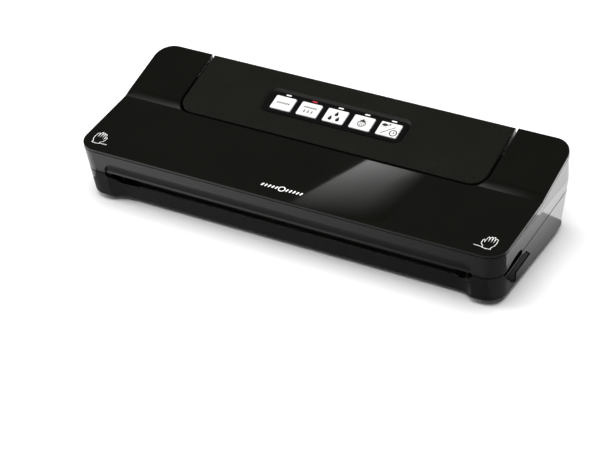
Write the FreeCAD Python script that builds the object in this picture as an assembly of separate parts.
import FreeCAD, Part
import math
import os
from FreeCAD import Placement, Rotation
from FreeCAD import Vector as V

# Vacuum sealer: a low base with a fixed control block at the rear, and a U-shaped lid whose
# two arms lie beside the block and hinge at the rear corners. Millimetres, +X right,
# front at -Y, +Z up, and the origin on the table under the middle of the body.

# ---- driving dimensions ---------------------------------------------------------------------
FOOT_H = 4.0            # rubber feet lift the body off the table
HALF_W = 187.5          # half of the overall width
HALF_D = 67.6           # half of the overall depth
SHOULDER_Z = 47.0       # the side draft stops here
BOTTOM_IN_X = 4.2       # how far the sides draw in at the bottom
BOTTOM_IN_Y = 3.9       # how far the front and back draw in at the bottom
CORNER_R = 15.5         # plan radius of the four corners
EDGE_CHAMFER = 1.6      # bottom edge
WALL = 2.2              # moulded walls

FRONT_TOP_Z = 49.65     # lid surface at the front edge
CREASE_Y, CREASE_Z = 5.5, 55.5
RAMP_END_Y = 21.0       # the curved ramp behind the crease ends here
REAR_TOP_Z = 73.46      # top surface at the rear edge
REAR_SLOPE = 0.2797     # tilt of the rear surface
RAMP_START_DEG = 22.0   # the ramp leaves the crease at this tilt

SPLIT_FRONT_Z = 27.4    # joint line between base and lid, at y = -66
SPLIT_SLOPE = 0.0855
SPLIT_HALF_GAP = 0.5
PLATE_T = 2.0           # glossy top plate of the lid
SEAM = 0.6              # shadow groove under the plate
PLATE_EDGE_R = 0.7
BLOCK_EDGE_R = 1.2

BLOCK_HALF_W = 137.0    # fixed control block
BLOCK_FRONT_Y = 6.0
BLOCK_CORNER_R = 13.0
BLOCK_GAP = 2.25        # between the block and the lid

DECK_Z = 16.0           # where the film lies
DECK_T = 2.5
WELL_HALF_W = 153.0
WELL_REAR_Y = 5.0
RECESS_Y = -57.0        # recessed front wall of the base
SLOT_HALF_W = 150.0
BLOCK_EDGE_X = 164.0    # inner edge of the front corner blocks

HINGE_Y, HINGE_Z = 60.0, 46.0
HINGE_PIN_R = 3.0
RUN_CLEAR = 0.05
LID_HEEL_R = 7.6        # the lid's rear lower corner turns inside this radius
BASE_RELIEF_R = 8.3

GASKET_HALF_W, GASKET_Y0, GASKET_Y1, GASKET_WIDTH = 134.0, -37.5, -3.5, 4.0
TROUGH_HALF_W, TROUGH_Y0, TROUGH_Y1, TROUGH_Z = 122.0, -31.2, -9.8, 8.0
TRAY_WALL = 1.3
KEY_TOP = -1.2          # below the block's top face
HEATER_Y = -46.0

KEY_W, KEY_D, KEY_PITCH, KEY_MID_X = 18.5, 14.2, 24.0, -6.5
KEY_GAP = 0.3
PANEL_Y = 36.9          # middle of the button recess along Y
RECESS_X0, RECESS_X1, RECESS_V = -72.5, 58.0, 13.5
RECESS_DEPTH, RECESS_DRAFT = 2.8, 2.2
FLOOR_T = 1.6
LED_V = 9.6             # LED windows, up the slope from the middle of the recess
LED_LEN, LED_H = 4.6, 1.2

BLADE_X, BLADE_Y = 171.5, -34.0      # lid catches
HOSE_X, HOSE_Z, NOZZLE_R = 50.0, 10.4, 2.4
BARB_R = 1.7            # hose tails, and the bore of the hose
HOSE_R = 2.9
LATCH_Z0, LATCH_Z1 = 18.4, 21.0

FAR = 250.0             # larger than the whole object

nodes = {}


# ---- helpers --------------------------------------------------------------------------------
def box(x0, x1, y0, y1, z0, z1):
    return Part.makeBox(x1 - x0, y1 - y0, z1 - z0, V(x0, y0, z0))


def rod(start, direction, radius, length):
    return Part.makeCylinder(radius, length, V(*start), V(*direction))


def polygon_prism(points, along):
    wire = Part.makePolygon(points + [points[0]])
    return Part.Face(wire).extrude(along)


def prism_x(yz, x0, x1):
    return polygon_prism([V(x0, y, z) for y, z in yz], V(x1 - x0, 0, 0))


def rounded_outline(x0, x1, y0, y1, r, z):
    """Closed wire of a rectangle with four corner arcs, at height z."""
    corners = [(x1 - r, y0 + r, -90), (x1 - r, y1 - r, 0), (x0 + r, y1 - r, 90), (x0 + r, y0 + r, 180)]
    arcs = []
    for cx, cy, start in corners:
        circle = Part.Circle(V(cx, cy, z), V(0, 0, 1), r)
        arcs.append(Part.ArcOfCircle(circle, math.radians(start), math.radians(start + 90)))
    edges = []
    for i, arc in enumerate(arcs):
        edges.append(arc.toShape())
        nxt = arcs[(i + 1) % 4]
        edges.append(Part.LineSegment(arc.EndPoint, nxt.StartPoint).toShape())
    return Part.Wire(edges)


def rounded_prism(x0, x1, y0, y1, r, z0, z1):
    face = Part.Face(rounded_outline(x0, x1, y0, y1, r, z0))
    return face.extrude(V(0, 0, z1 - z0))


def mirrored(shape):
    return shape.mirror(V(0, 0, 0), V(1, 0, 0))


def both_sides(shape):
    """The shape and its mirror image across the middle plane, as two separate solids."""
    return Part.makeCompound([shape, mirrored(shape)])


def fuse(first, *others):
    return first.fuse(list(others)).removeSplitter()


def common(first, *others):
    for other in others:
        first = first.common(other)
    return first


def round_top_rim(shape, radius, steepness=0.8):
    """Round the outer edges of the faces that look upward, leaving the creases between them."""
    up_faces = [f for f in shape.Faces if f.normalAt(*[sum(p) / 2 for p in (f.ParameterRange[:2],
                                                                           f.ParameterRange[2:])]).z > steepness]
    seen = {}
    for face in up_faces:
        for edge in face.Edges:
            seen.setdefault(edge.hashCode(), []).append(edge)
    rim = [edges[0] for edges in seen.values() if len(edges) == 1]
    return shape.makeFillet(radius, rim)


def save(name, shape):
    nodes[name] = shape


# ---- outer form -----------------------------------------------------------------------------
def envelope(inset=0.0):
    """The body's outer form, drafted below the shoulder and straight above it."""
    def outline(z, extra_x, extra_y, extra=0.0):
        hx = HALF_W - inset - extra_x - extra
        hy = HALF_D - inset - extra_y - extra
        return rounded_outline(-hx, hx, -hy, hy, CORNER_R - inset, z)

    share = EDGE_CHAMFER / (SHOULDER_Z - FOOT_H)
    wires = [
        outline(FOOT_H, BOTTOM_IN_X, BOTTOM_IN_Y, EDGE_CHAMFER),
        outline(FOOT_H + EDGE_CHAMFER, BOTTOM_IN_X * (1 - share), BOTTOM_IN_Y * (1 - share)),
        outline(SHOULDER_Z, 0.0, 0.0),
        outline(REAR_TOP_Z + 8, 0.0, 0.0),
    ]
    return Part.makeLoft(wires, True, True)


def rear_plane_z(y):
    return REAR_TOP_Z + REAR_SLOPE * (y - HALF_D)


def split_z(y):
    return SPLIT_FRONT_Z + SPLIT_SLOPE * (y + 66)


def below_lid_top(drop):
    """Everything under the lid's surface, lowered by drop: front panel, crease, ramp, rear."""
    front_slope = (CREASE_Z - FRONT_TOP_Z) / (CREASE_Y + HALF_D)
    front = V(-FAR, -90, CREASE_Z - drop - front_slope * (CREASE_Y + 90))
    crease = V(-FAR, CREASE_Y, CREASE_Z - drop)
    ramp_end = V(-FAR, RAMP_END_Y, rear_plane_z(RAMP_END_Y) - drop)
    start = math.radians(RAMP_START_DEG)
    reach = 0.35 * (RAMP_END_Y - CREASE_Y)
    ramp = Part.BezierCurve()
    ramp.setPoles([
        crease,
        V(-FAR, CREASE_Y + reach, crease.z + reach * math.tan(start)),
        V(-FAR, RAMP_END_Y - reach, ramp_end.z - reach * REAR_SLOPE),
        ramp_end,
    ])
    rear = V(-FAR, 90, rear_plane_z(90) - drop)
    low_rear, low_front = V(-FAR, 90, -20), V(-FAR, -90, -20)
    edges = [Part.LineSegment(front, crease).toShape(), ramp.toShape()]
    for a, b in [(ramp_end, rear), (rear, low_rear), (low_rear, low_front), (low_front, front)]:
        edges.append(Part.LineSegment(a, b).toShape())
    return Part.Face(Part.Wire(edges)).extrude(V(2 * FAR, 0, 0))


def below_rear_plane(drop):
    return prism_x([(-90, rear_plane_z(-90) - drop), (90, rear_plane_z(90) - drop),
                    (90, -20), (-90, -20)], -FAR, FAR)


def below_split(offset):
    return prism_x([(-90, split_z(-90) + offset), (90, split_z(90) + offset),
                    (90, -20), (-90, -20)], -FAR, FAR)


def above_split(offset):
    return prism_x([(-90, split_z(-90) + offset), (90, split_z(90) + offset),
                    (90, 120), (-90, 120)], -FAR, FAR)


def block_column(grow):
    """Plan of the control block, standing up, with its two front corners rounded."""
    half = BLOCK_HALF_W + grow
    front = BLOCK_FRONT_Y - grow
    return rounded_prism(-half, half, front, 120, BLOCK_CORNER_R + grow, -10, 120)


def front_recess(grow):
    """Space in front of the base between its two corner blocks, with S-shaped ends."""
    wall = RECESS_Y + grow
    poles = [V(BLOCK_EDGE_X + grow, -68, -10), V(BLOCK_EDGE_X - 5 + grow, -60 + grow, -10),
             V(154 + grow, wall - 0.2, -10), V(144, wall, -10)]
    right = Part.BezierCurve()
    right.setPoles(poles)
    left = Part.BezierCurve()
    left.setPoles([V(-p.x, p.y, p.z) for p in reversed(poles)])
    edge_x = BLOCK_EDGE_X + grow
    edges = [right.toShape(), Part.LineSegment(poles[3], V(-144, wall, -10)).toShape(), left.toShape()]
    ring = [V(-edge_x, -68, -10), V(-edge_x, -90, -10), V(edge_x, -90, -10), V(edge_x, -68, -10)]
    for a, b in zip(ring, ring[1:]):
        edges.append(Part.LineSegment(a, b).toShape())
    return Part.Face(Part.Wire(edges)).extrude(V(0, 0, 130))


def film_slot():
    """Opening above the recessed wall: level in the middle, rising to the corner blocks."""
    top = 60.0
    high = split_z(-62) - 1.2
    poles = [V(BLOCK_EDGE_X, -80, high), V(158, -80, DECK_Z + 4), V(155, -80, DECK_Z),
             V(SLOT_HALF_W, -80, DECK_Z)]
    right = Part.BezierCurve()
    right.setPoles(poles)
    left = Part.BezierCurve()
    left.setPoles([V(-p.x, p.y, p.z) for p in reversed(poles)])
    flat = Part.LineSegment(poles[3], V(-SLOT_HALF_W, -80, DECK_Z))
    edges = [right.toShape(), flat.toShape(), left.toShape()]
    ring = [V(-BLOCK_EDGE_X, -80, high), V(-BLOCK_EDGE_X, -80, top),
            V(BLOCK_EDGE_X, -80, top), V(BLOCK_EDGE_X, -80, high)]
    for a, b in zip(ring, ring[1:]):
        edges.append(Part.LineSegment(a, b).toShape())
    return Part.Face(Part.Wire(edges)).extrude(V(0, 80 + RECESS_Y + 4, 0))


FORM = envelope()
INSIDE = envelope(WALL)




# ---- side release buttons -------------------------------------------------------------------
RELEASE_WINDOW = [(-53.8, 24.9), (-26.5, 27.4), (-18.8, 26.4), (-9.0, 17.3),
                  (-34.0, 15.2), (-33.2, 6.8), (-41.0, 10.8), (-53.2, 22.6)]


def release_window(gap):
    """Leaning window in the side wall, long above with a short foot; gap shrinks it all round."""
    wire = Part.makePolygon([V(0, y, z) for y, z in RELEASE_WINDOW + RELEASE_WINDOW[:1]])
    if gap:
        wire = wire.makeOffset2D(-gap, 2)
    face = Part.Face(wire)
    face.translate(V(176.5, 0, 0))
    return face.extrude(V(30, 0, 0))


def rim_dip():
    """Dip in the base's rim over the release button, for a finger tip."""
    return prism_x([(-56.0, 25.9), (-26.8, 28.4), (-26.2, 45), (-56.0, 45)], 176.5, 206)


def lid_notch():
    """Arch in the lid's lower side edge, over the dip."""
    arch = Part.BSplineCurve()
    crown = [(-55.5, 28.4), (-48, 32.4), (-40, 34.4), (-31.5, 34.8), (-27.2, 33.0)]
    arch.interpolate([V(165, y, z) for y, z in crown])
    ring = [V(165, -27.2, 33.0), V(165, -26.4, 27.0), V(165, -56.0, 27.0), V(165, -55.5, 28.4)]
    edges = [arch.toShape()] + [Part.LineSegment(p, q).toShape() for p, q in zip(ring, ring[1:])]
    return Part.Face(Part.Wire(edges)).extrude(V(30, 0, 0))


def release_button():
    cap = release_window(0.4).common(envelope(0.7))
    pad = release_window(2.0).common(envelope(0.2))
    lip = prism_x([(-51, 24.0), (-28, 26.5), (-28, 30.6), (-50, 28.8)], 176.5, 181.2)
    return fuse(cap, pad, lip)


def latch_slide():
    """Frame that passes round the lid's blade; its inner bar holds the blade's nose."""
    rails = [box(163.0, 176.5, y, y + 2.5, LATCH_Z0, LATCH_Z1) for y in (-46.5, -26.0)]
    bar = box(163.0, 166.6, -46.5, -23.5, LATCH_Z0, LATCH_Z1)
    return fuse(bar, rails[0], rails[1])


def latch_spring():
    """Bent leaf between the well's wall and the slide's bar."""
    wall, tip, thick = WELL_HALF_W + 2, 162.6, 0.6
    outline = [(wall, -41), (wall + thick, -41), (tip, -35), (wall + thick, -29), (wall, -29),
               (tip - thick, -35)]
    return polygon_prism([V(x, y, 18.9) for x, y in outline], V(0, 0, 1.6))


# ---- base -----------------------------------------------------------------------------------
FOOT_SPOTS = [(x, y) for x in (-158, 158) for y in (-46, 46)]
LOW_SCREWS = [(x, y) for x in (-143, 143) for y in (-20,)]
HIGH_SCREWS = [(x, y) for x in (-146, 146) for y in (22, 48)]
GLAND_X, GLAND_Z = -108.0, 22.0
VENT_COUNT, VENT_X0, VENT_PITCH = 9, 60.0, 6.0
FRAME_JOINT_X = 150.0
SCREW_HOLE_R = 1.5


def screw_boss_top(y):
    return split_z(y) - 4.4 if y > WELL_REAR_Y else DECK_Z - DECK_T


def front_line():
    """Fine groove under the rim, level in the middle and rising round the corner blocks."""
    low, high = film_slot(), film_slot()
    low.translate(V(0, 0, -3.9))
    high.translate(V(0, 0, -3.4))
    sides = box(BLOCK_EDGE_X, FAR, -90, -48, 0, 60)
    corners = common(fuse(sides, mirrored(sides)), below_split(-3.9), above_split(-4.4))
    skin = fuse(front_recess(0.35), FORM.cut(envelope(0.35)))
    return low.cut(high).fuse(corners).common(skin)


def base_frame():
    """Outer wall of the base, open above and below."""
    room = INSIDE.cut(front_recess(WALL)).fuse(box(-FAR, FAR, -FAR, FAR, 80, 90))
    frame = common(FORM, below_split(-SPLIT_HALF_GAP)).cut(front_recess(0)).cut(film_slot()).cut(room)
    relief = rod((BLOCK_HALF_W + 0.6, HINGE_Y, HINGE_Z), (1, 0, 0), BASE_RELIEF_R, 60)
    side_cut = relief.fuse([release_window(0), rim_dip()])
    frame = frame.cut(side_cut).cut(mirrored(side_cut)).cut(front_line())
    for i in range(VENT_COUNT):
        x = VENT_X0 + VENT_PITCH * i
        frame = frame.cut(box(x, x + 2.5, 60, 70, 14, 30))
    return frame.cut(rod((GLAND_X, 55, GLAND_Z), (0, 1, 0), 6.0, 20)).removeSplitter()


def frame_pieces():
    """The frame is four mouldings: a front rail, a rear panel and a cheek at each end."""
    frame = base_frame()
    right = frame.common(box(FRAME_JOINT_X, FAR, -90, 90, 0, 90)).removeSplitter()
    rail = frame.common(box(-FRAME_JOINT_X, FRAME_JOINT_X, -90, 0, 0, 90)).removeSplitter()
    rear = frame.common(box(-FRAME_JOINT_X, FRAME_JOINT_X, 0, 90, 0, 90)).removeSplitter()
    return {"front_rail": rail, "rear_panel": rear, "cheek_right": right, "cheek_left": mirrored(right)}


def bottom_cover():
    """Flat cover in the bottom of the frame, with countersinks for the screws."""
    slab = common(envelope(WALL + 0.1), box(-FAR, FAR, -90, 90, FOOT_H, FOOT_H + WALL))
    cover = slab.cut(front_recess(WALL + 0.1))
    for x, y in LOW_SCREWS + HIGH_SCREWS:
        cover = cover.cut(rod((x, y, 0), (0, 0, 1), SCREW_HOLE_R, 60))
        cover = cover.cut(rod((x, y, 0), (0, 0, 1), 3.2, FOOT_H + 1.4))
    for x, y in FOOT_SPOTS:
        cover = cover.cut(rod((x, y, 0), (0, 0, 1), 2.5, 10))
    return cover.removeSplitter()


def screw_post(x, y):
    low = FOOT_H + WALL
    post = rod((x, y, low), (0, 0, 1), 4.0, screw_boss_top(y) - low)
    return post.cut(rod((x, y, 0), (0, 0, 1), SCREW_HOLE_R, 60))


def ring_seal(z0, z1, grow=0.0):
    outer = rounded_prism(-GASKET_HALF_W - grow, GASKET_HALF_W + grow,
                          GASKET_Y0 - grow, GASKET_Y1 + grow, 9 + grow, z0, z1)
    inner_w = GASKET_HALF_W - GASKET_WIDTH + grow
    inner = rounded_prism(-inner_w, inner_w, GASKET_Y0 + GASKET_WIDTH - grow,
                          GASKET_Y1 - GASKET_WIDTH + grow, 5 - grow, z0 - 1, z1 + 1)
    return outer.cut(inner)


def base_deck():
    """Sloping plate just below the rim, open over the well and under the control block."""
    plate = common(envelope(WALL + 0.4), below_split(-1.5), above_split(-4.0))
    deck = plate.cut(box(-WELL_HALF_W - 2, WELL_HALF_W + 2, -90, WELL_REAR_Y + 2, 0, 90))
    deck = deck.cut(front_recess(WALL)).cut(box(-132, 132, 9.5, 60.5, 0, 90))
    relief = rod((BLOCK_HALF_W + 0.6, HINGE_Y, HINGE_Z), (1, 0, 0), BASE_RELIEF_R, 60)
    blade_way = box(163.5, 175.5, -43.5, -28, 10, 60)
    button_way = box(172.8, FAR, -57, -6, 0, 60)
    side_cut = relief.fuse([blade_way, button_way])
    deck = deck.cut(side_cut).cut(mirrored(side_cut))
    for x, y in HIGH_SCREWS:
        deck = deck.cut(rod((x, y, 0), (0, 0, 1), SCREW_HOLE_R, 60))
    return deck.removeSplitter()


def trough_outline(grow, radius, z0, z1):
    return rounded_prism(-TROUGH_HALF_W - grow, TROUGH_HALF_W + grow, TROUGH_Y0 - grow, TROUGH_Y1 + grow,
                         radius, z0, z1)


def well_pan():
    """Sunken floor where the bag lies: open in front, with a groove for the lower gasket."""
    well = box(-WELL_HALF_W - 2, WELL_HALF_W + 2, RECESS_Y + WALL, WELL_REAR_Y + 2, DECK_Z - DECK_T, 60)
    well = well.cut(box(-WELL_HALF_W, WELL_HALF_W, -90, WELL_REAR_Y, DECK_Z, 90))
    pan = common(well, below_split(-1.5)).cut(trough_outline(TRAY_WALL, 8.3, 0, 60)).cut(front_recess(WALL))
    pan = pan.cut(ring_seal(DECK_Z - 1.0, DECK_Z + 5))
    for x, y in LOW_SCREWS:
        pan = pan.cut(rod((x, y, 0), (0, 0, 1), SCREW_HOLE_R, 60))
    return pan.removeSplitter()


def drip_tray():
    """Tray in the well's floor; the pump draws through the nozzle in its rear wall."""
    tray = trough_outline(TRAY_WALL, 8.3, TROUGH_Z - 1.5, DECK_Z).cut(trough_outline(0, 7, TROUGH_Z, 60))
    return tray.cut(rod((HOSE_X, TROUGH_Y1 - 3, HOSE_Z), (0, 1, 0), NOZZLE_R, 8)).removeSplitter()


# ---- control block --------------------------------------------------------------------------
PANEL_TURN = Rotation(V(1, 0, 0), math.degrees(math.atan(REAR_SLOPE)))
TILT = Placement(V(0, PANEL_Y, rear_plane_z(PANEL_Y)), PANEL_TURN)


def on_panel(shape):
    """Move a shape drawn flat, with z = 0 on the block's top face, to its place on the slope."""
    placed = shape.copy()
    placed.transformShape(TILT.toMatrix())
    return placed


def recess_loft(grow, depth):
    def outline(n):
        inset = RECESS_DRAFT * (-n / RECESS_DEPTH) - grow
        return rounded_outline(RECESS_X0 + inset, RECESS_X1 - inset, -RECESS_V + inset,
                               RECESS_V - inset, 8 - inset, n)
    return Part.makeLoft([outline(0.5), outline(-depth)], True, True)


def key_centres():
    return [KEY_MID_X + (i - 2) * KEY_PITCH for i in range(5)]


def led_centres():
    return [x + 0.3 for x in key_centres()]


def key_hole(x, grow, z0, z1):
    return rounded_prism(x - KEY_W / 2 - grow, x + KEY_W / 2 + grow, -KEY_D / 2 - grow,
                         KEY_D / 2 + grow, 1.1 + grow, z0, z1)


def led_pill(x, z0, z1):
    return rounded_prism(x - LED_LEN / 2, x + LED_LEN / 2, LED_V - LED_H / 2, LED_V + LED_H / 2,
                         LED_H / 2 - 0.01, z0, z1)


def control_housing():
    outer = common(FORM, block_column(0), below_rear_plane(0), above_split(-1.5))
    skirt_cut = FORM.cut(envelope(WALL + 1.0)).common(below_split(SPLIT_HALF_GAP))
    outer = round_top_rim(outer.cut(skirt_cut).removeSplitter(), BLOCK_EDGE_R)
    room = common(INSIDE, block_column(-WALL), below_rear_plane(WALL))
    shell = outer.cut(room)
    pan = on_panel(recess_loft(FLOOR_T, RECESS_DEPTH + FLOOR_T)).common(below_rear_plane(0.5))
    shell = shell.fuse(pan).cut(on_panel(recess_loft(0, RECESS_DEPTH)))
    for x in key_centres():
        shell = shell.cut(on_panel(key_hole(x, KEY_GAP, -12, 2)))
    for x in led_centres():
        shell = shell.cut(on_panel(led_pill(x, -12, 2)))
    pins = rod((BLOCK_HALF_W - 12, HINGE_Y, HINGE_Z), (1, 0, 0), HINGE_PIN_R, 30)
    lug = rod((BLOCK_HALF_W - 6, HINGE_Y - 0.5, HINGE_Z), (1, 0, 0), 5.0, 5.0)
    shell = shell.fuse([lug, mirrored(lug)])
    return shell.cut(pins).cut(mirrored(pins)).removeSplitter()


def button_panel():
    """Trim plate on the floor of the recess, with its own holes for keys and windows."""
    inset = RECESS_DRAFT + 0.4
    z0, z1 = -RECESS_DEPTH, -RECESS_DEPTH + 0.8
    plate = rounded_prism(RECESS_X0 + inset, RECESS_X1 - inset, -RECESS_V + inset,
                          RECESS_V - inset, 5.5, z0, z1)
    for x in key_centres():
        plate = plate.cut(key_hole(x, KEY_GAP, z0 - 1, z1 + 1))
    for x in led_centres():
        plate = plate.cut(led_pill(x, z0 - 1, z1 + 1))
    return on_panel(plate)


def key(x):
    cap = key_hole(x, 0, -6.2, KEY_TOP)
    top = [e for e in cap.Edges if e.BoundBox.ZMin > KEY_TOP - 0.05]
    cap = cap.makeFillet(0.35, top)
    flange = key_hole(x, 0.9, -5.9, -RECESS_DEPTH - FLOOR_T - 0.3)
    return on_panel(fuse(cap, flange))


def led_window(x):
    return on_panel(led_pill(x, -RECESS_DEPTH - FLOOR_T, -RECESS_DEPTH + 1.0))


PCB_TOP = -8.6


def switch_board():
    board = box(RECESS_X0 + 6, RECESS_X1 - 6, -12, 12, PCB_TOP - 1.6, PCB_TOP)
    return on_panel(board)


def switch_caps():
    body = [on_panel(box(x - 3, x + 3, -3, 3, PCB_TOP, PCB_TOP + 1.3)) for x in key_centres()]
    return Part.makeCompound(body)


def led_chips():
    chips = [on_panel(box(x - 1.6, x + 1.6, LED_V - 0.8, LED_V + 0.8, PCB_TOP, PCB_TOP + 1.2))
             for x in led_centres()]
    return Part.makeCompound(chips)


# ---- lid ------------------------------------------------------------------------------------
LID_SCREWS = [(x, y) for x in (-120, 0, 120) for y in (-56.5,)] + [(-165, 35), (165, 35)]


def heel_cut():
    corner = box(-FAR, FAR, HINGE_Y, 90, 20, HINGE_Z)
    return corner.cut(rod((-FAR, HINGE_Y, HINGE_Z), (1, 0, 0), LID_HEEL_R, 2 * FAR))


def front_scoop():
    """Shallow hollow along the lower front of the lid, ending in two rounded corners."""
    y_face = -66.6
    arc = Part.Arc(V(-FAR, y_face, 38.0), V(-FAR, -64.8, 33.0), V(-FAR, -64.4, 26.0)).toShape()
    ring = [V(-FAR, -64.4, 26.0), V(-FAR, -80, 26.0), V(-FAR, -80, 38.0), V(-FAR, y_face, 38.0)]
    edges = [arc] + [Part.LineSegment(a, b).toShape() for a, b in zip(ring, ring[1:])]
    hollow = Part.Face(Part.Wire(edges)).extrude(V(2 * FAR, 0, 0))
    arch = rounded_outline(-163, 163, 0, 38.0, 8, 0)
    frame = Part.Face(arch).extrude(V(0, 0, 40))
    frame.Placement = Placement(V(0, -50, 0), Rotation(V(1, 0, 0), 90))
    return hollow.common(frame)


def lid_frame():
    body = common(FORM, above_split(SPLIT_HALF_GAP), below_lid_top(PLATE_T)).cut(block_column(BLOCK_GAP))
    room = INSIDE.cut(block_column(BLOCK_GAP + WALL)).cut(box(-163, 163, -90, -61, 0, 90))
    seam = below_lid_top(PLATE_T).cut(below_lid_top(PLATE_T + SEAM))
    seam = seam.cut(envelope(0.9).cut(block_column(BLOCK_GAP + 0.9)))
    frame = body.cut(room).cut(seam).cut(front_scoop())
    boss = rod((BLOCK_HALF_W + BLOCK_GAP, HINGE_Y, HINGE_Z), (1, 0, 0), 6.5, 7.5)
    frame = frame.fuse([boss, mirrored(boss)]).cut(heel_cut())
    bore = rod((BLOCK_HALF_W, HINGE_Y, HINGE_Z), (1, 0, 0), HINGE_PIN_R + RUN_CLEAR, 12)
    notch = lid_notch()
    return frame.cut([bore, mirrored(bore), notch, mirrored(notch)]).removeSplitter()


def lid_top_plate():
    plate = common(FORM, below_lid_top(0)).cut(below_lid_top(PLATE_T)).cut(block_column(BLOCK_GAP))
    plate = round_top_rim(plate, PLATE_EDGE_R)
    for x, y in LID_SCREWS:
        low = split_z(y) + 4.3
        boss = rod((x, y, low), (0, 0, 1), 3.2, 60).common(below_lid_top(1.0))
        hole = rod((x, y, low - 1), (0, 0, 1), 1.3, 9.0)
        plate = plate.fuse(boss).cut(hole)
    return plate.removeSplitter()


PAN_HALF_W, PAN_Y0, PAN_Y1, PAN_Z = 151.0, -60.9, 1.0, 26.0


def lid_inner_panel():
    """Inner cover: a shallow pan over the well, with a flange that closes the arms."""
    room = INSIDE.cut(block_column(BLOCK_GAP + WALL)).cut(box(-163, 163, -90, -61, 0, 90))
    flange = common(room, above_split(2.0), below_split(4.0), box(-FAR, FAR, -90, 50, 0, 90))
    pan = box(-PAN_HALF_W, PAN_HALF_W, PAN_Y0, PAN_Y1, PAN_Z, 60).common(below_split(4.0))
    hollow = box(-PAN_HALF_W + 2, PAN_HALF_W - 2, PAN_Y0 + 9, PAN_Y1 - 2, PAN_Z + 2.2, 60)
    panel = fuse(flange, pan).cut(hollow)
    for x, y in LID_SCREWS:
        panel = panel.cut(rod((x, y, 0), (0, 0, 1), 1.5, 60))
        panel = panel.cut(rod((x, y, 0), (0, 0, 1), 3.0, split_z(y) + 2.8))
    return panel.removeSplitter()


def screw(x, y, z, length, head_r=2.8, up=1):
    """Pan head below, shank above, with a cross recess in the head."""
    head = rod((x, y, z), (0, 0, up), head_r, 1.8)
    slot_a = box(x - 1.6, x + 1.6, y - 0.3, y + 0.3, z, z + 0.9)
    slot_b = box(x - 0.3, x + 0.3, y - 1.6, y + 1.6, z, z + 0.9)
    return fuse(head, rod((x, y, z + 1.8), (0, 0, up), 1.25, length)).cut(fuse(slot_a, slot_b))


def lid_catch():
    """Blade under the lid's corner that drops into the base, with a nose on its inner side."""
    top = split_z(BLADE_Y) + 2.0
    blade = box(BLADE_X - 1.5, BLADE_X + 1.5, BLADE_Y - 3, BLADE_Y + 3, 14.0, top + 2)
    blade = common(blade, below_split(2.0))
    nose = Part.makePolygon([V(BLADE_X - 1.5, BLADE_Y - 3, 14.0), V(BLADE_X - 4.5, BLADE_Y - 3, 17.0),
                             V(BLADE_X - 4.5, BLADE_Y - 3, 17.9), V(BLADE_X - 1.5, BLADE_Y - 3, 17.9),
                             V(BLADE_X - 1.5, BLADE_Y - 3, 14.0)])
    return fuse(blade, Part.Face(nose).extrude(V(0, 6, 0)))


# ---- inside ---------------------------------------------------------------------------------
MOTOR_Y, MOTOR_Z = 38.0, 26.0


def pump_head():
    body = rounded_prism(36, 62, 20, 56, 4, 8, 44)
    cavity = rod((46, MOTOR_Y, MOTOR_Z), (1, 0, 0), 9.0, 10)
    shaft_way = rod((55, MOTOR_Y, MOTOR_Z), (1, 0, 0), 2.2, 10)
    barb = rod((HOSE_X, 12, HOSE_Z), (0, 1, 0), BARB_R, 9)
    return fuse(body, barb).cut(cavity).cut(shaft_way).cut(rod((HOSE_X, 11, HOSE_Z), (0, 1, 0), 0.9, 14))


def pump_motor():
    can = rod((62, MOTOR_Y, MOTOR_Z), (1, 0, 0), 13.5, 40)
    tail = rod((102, MOTOR_Y, MOTOR_Z), (1, 0, 0), 5.0, 3)
    return fuse(can, tail).cut(rod((61, MOTOR_Y, MOTOR_Z), (1, 0, 0), 2.0, 12))


def pump_crank():
    disc = rod((47, MOTOR_Y, MOTOR_Z), (1, 0, 0), 8.0, 5)
    pin = rod((52, MOTOR_Y + 4.5, MOTOR_Z), (1, 0, 0), 1.2, 2.5)
    shaft = rod((52, MOTOR_Y, MOTOR_Z), (1, 0, 0), 1.95, 19)
    return fuse(disc, pin, shaft)


def vacuum_nozzle():
    tube = rod((HOSE_X, TROUGH_Y1 - 1.5, HOSE_Z), (0, 1, 0), NOZZLE_R, 3.5)
    barb = rod((HOSE_X, TROUGH_Y1 + 2, HOSE_Z), (0, 1, 0), BARB_R, 6)
    return fuse(tube, barb).cut(rod((HOSE_X, TROUGH_Y1 - 3, HOSE_Z), (0, 1, 0), 0.9, 14))


def vacuum_tube():
    hose = rod((HOSE_X, TROUGH_Y1 + 2.6, HOSE_Z), (0, 1, 0), HOSE_R, 25.6)
    return hose.cut(rod((HOSE_X, TROUGH_Y1 + 1, HOSE_Z), (0, 1, 0), BARB_R, 30))


def transformer_core():
    core = box(-112, -68, 18, 52, 7, 43)
    for x0 in (-105, -85):
        core = core.cut(box(x0, x0 + 10, 10, 60, 15, 35))
    return fuse(core, box(-118, -62, 18, 52, FOOT_H + WALL, 7))


def transformer_coil():
    coil = rounded_prism(-104.7, -75.3, 13, 57, 4, 15.3, 34.7)
    return coil.cut(box(-95, -85, 17.9, 52.1, 0, 60))


def main_board():
    return box(-56, 22, 14, 58, 10, 11.6)


def board_parts():
    parts = [rod((x, 50, 11.6), (0, 0, 1), 5.0, 16) for x in (-46, -32)]
    parts.append(box(-20, -2, 40, 56, 11.6, 27))
    parts.append(box(6, 18, 20, 32, 11.6, 14.6))
    parts.append(box(-50, -28, 20, 30, 11.6, 20))
    return Part.makeCompound(parts)


def board_posts():
    return Part.makeCompound([rod((x, y, FOOT_H + WALL), (0, 0, 1), 3, 10 - FOOT_H - WALL)
                              for x in (-51, 17) for y in (18, 54)])


def lid_switch():
    body = box(160.5, 172.6, -40, -30, FOOT_H + WALL, 11.5)
    return fuse(body, box(169, 172, -36, -34, 11.5, 13.4))


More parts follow.
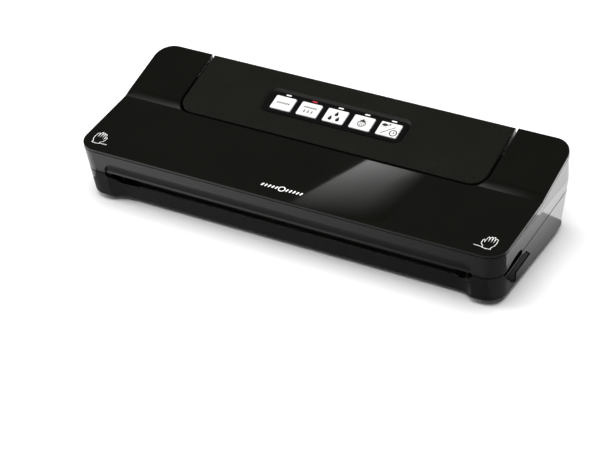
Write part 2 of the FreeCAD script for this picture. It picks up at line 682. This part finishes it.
def cord_gland():
    wall_y = HALF_D - BOTTOM_IN_Y * (SHOULDER_Z - GLAND_Z) / (SHOULDER_Z - FOOT_H)
    stem = rod((GLAND_X, wall_y - 6, GLAND_Z), (0, 1, 0), 5.95, 7)
    flange = rod((GLAND_X, wall_y + 0.7, GLAND_Z), (0, 1, 0), 7.6, 1.3)
    collar = rod((GLAND_X, wall_y - 6, GLAND_Z), (0, 1, 0), 7.4, 2.6)
    return fuse(stem, flange, collar).cut(rod((GLAND_X, 40, GLAND_Z), (0, 1, 0), 3.3, 40))


def foot(x, y):
    pad = rod((x, y, 0), (0, 0, 1), 7.5, FOOT_H)
    rim = [e for e in pad.Edges if e.BoundBox.ZMax < 0.01]
    stem = rod((x, y, FOOT_H), (0, 0, 1), 2.5, WALL + 0.6)
    barb = rod((x, y, FOOT_H + WALL), (0, 0, 1), 3.6, 1.2)
    return fuse(pad.makeFillet(0.8, rim), stem, barb)


def hinge_pin():
    head = rod((BLOCK_HALF_W - 8, HINGE_Y, HINGE_Z), (1, 0, 0), 4.4, 2.0)
    return fuse(head, rod((BLOCK_HALF_W - 6, HINGE_Y, HINGE_Z), (1, 0, 0), HINGE_PIN_R, 15.2))


# ---- the whole object -----------------------------------------------------------------------
def build_base():
    for name, piece in frame_pieces().items():
        save(name, piece)
    save("bottom_cover", bottom_cover())
    save("screw_posts", Part.makeCompound([screw_post(x, y) for x, y in LOW_SCREWS + HIGH_SCREWS]))
    save("base_deck", base_deck())
    save("well_pan", well_pan())
    save("drip_tray", drip_tray())
    save("rubber_feet", Part.makeCompound([foot(x, y) for x, y in FOOT_SPOTS]))
    screws = [screw(x, y, FOOT_H - 0.4, screw_boss_top(y) - 2.0) for x, y in LOW_SCREWS + HIGH_SCREWS]
    save("base_screws", Part.makeCompound(screws))
    save("lower_gasket", ring_seal(DECK_Z - 1.0, DECK_Z + 4.5))
    save("heater_bar", box(-142, 142, HEATER_Y - 5, HEATER_Y + 5, DECK_Z, 19.4))
    save("sealing_wire", box(-141, 141, HEATER_Y - 1.5, HEATER_Y + 1.5, 19.4, 19.7))
    save("ptfe_tape", box(-138, 138, HEATER_Y - 4.5, HEATER_Y + 4.5, 19.7, 19.9))
    clip = fuse(box(142, 147, HEATER_Y - 3, HEATER_Y + 3, DECK_Z, 19.4),
                box(141.2, 147, HEATER_Y - 2, HEATER_Y + 2, 19.4, 20.0))
    save("wire_terminals", both_sides(clip))
    save("cord_gland", cord_gland())
    save("hinge_pins", both_sides(hinge_pin()))
    save("lid_switches", both_sides(lid_switch()))
    save("latch_spring_right", latch_spring())
    save("latch_spring_left", mirrored(latch_spring()))


def build_control_block():
    save("control_housing", control_housing())
    save("button_panel", button_panel())
    names = ["seal_key", "vacuum_seal_key", "moist_key", "gentle_key", "marinate_key"]
    for name, x in zip(names, key_centres()):
        save(name, key(x))
    windows = [led_window(x) for x in led_centres()]
    save("led_window_lit", windows.pop(1))
    save("led_windows", Part.makeCompound(windows))
    save("switch_board", switch_board())
    save("key_switches", switch_caps())
    save("led_chips", led_chips())


def build_lid():
    save("lid_top_plate", lid_top_plate())
    save("lid_frame", lid_frame())
    save("lid_inner_panel", lid_inner_panel())
    save("upper_gasket", ring_seal(DECK_Z + 4.9, PAN_Z))
    save("press_strip", box(-143, 143, HEATER_Y - 3, HEATER_Y + 3, 20.4, PAN_Z))
    save("lid_catches", both_sides(lid_catch()))
    screws = [screw(x, y, split_z(y) + 1.0, 8.0) for x, y in LID_SCREWS]
    save("lid_screws", Part.makeCompound(screws))


def build_releases():
    for side, place in (("right", lambda s: s), ("left", mirrored)):
        save("release_button_" + side, place(release_button()))
        save("latch_slide_" + side, place(latch_slide()))


def build_inside():
    save("pump_head", pump_head())
    save("pump_motor", pump_motor())
    save("pump_crank", pump_crank())
    save("vacuum_nozzle", vacuum_nozzle())
    save("vacuum_tube", vacuum_tube())
    save("transformer_core", transformer_core())
    save("transformer_coil", transformer_coil())
    save("main_board", main_board())
    save("board_parts", board_parts())
    save("board_posts", board_posts())


build_base()
build_control_block()
build_lid()
build_releases()
build_inside()

os.makedirs("parts", exist_ok=True)
for name, shape in nodes.items():
    shape.exportStep("parts/" + name + ".step")
    solids = len(shape.Solids)
    bounds = shape.BoundBox
    print(f"{name:22s} solids {solids:2d} valid {shape.isValid()} volume {shape.Volume:10.1f} "
          f"z {bounds.ZMin:6.2f} to {bounds.ZMax:6.2f}")
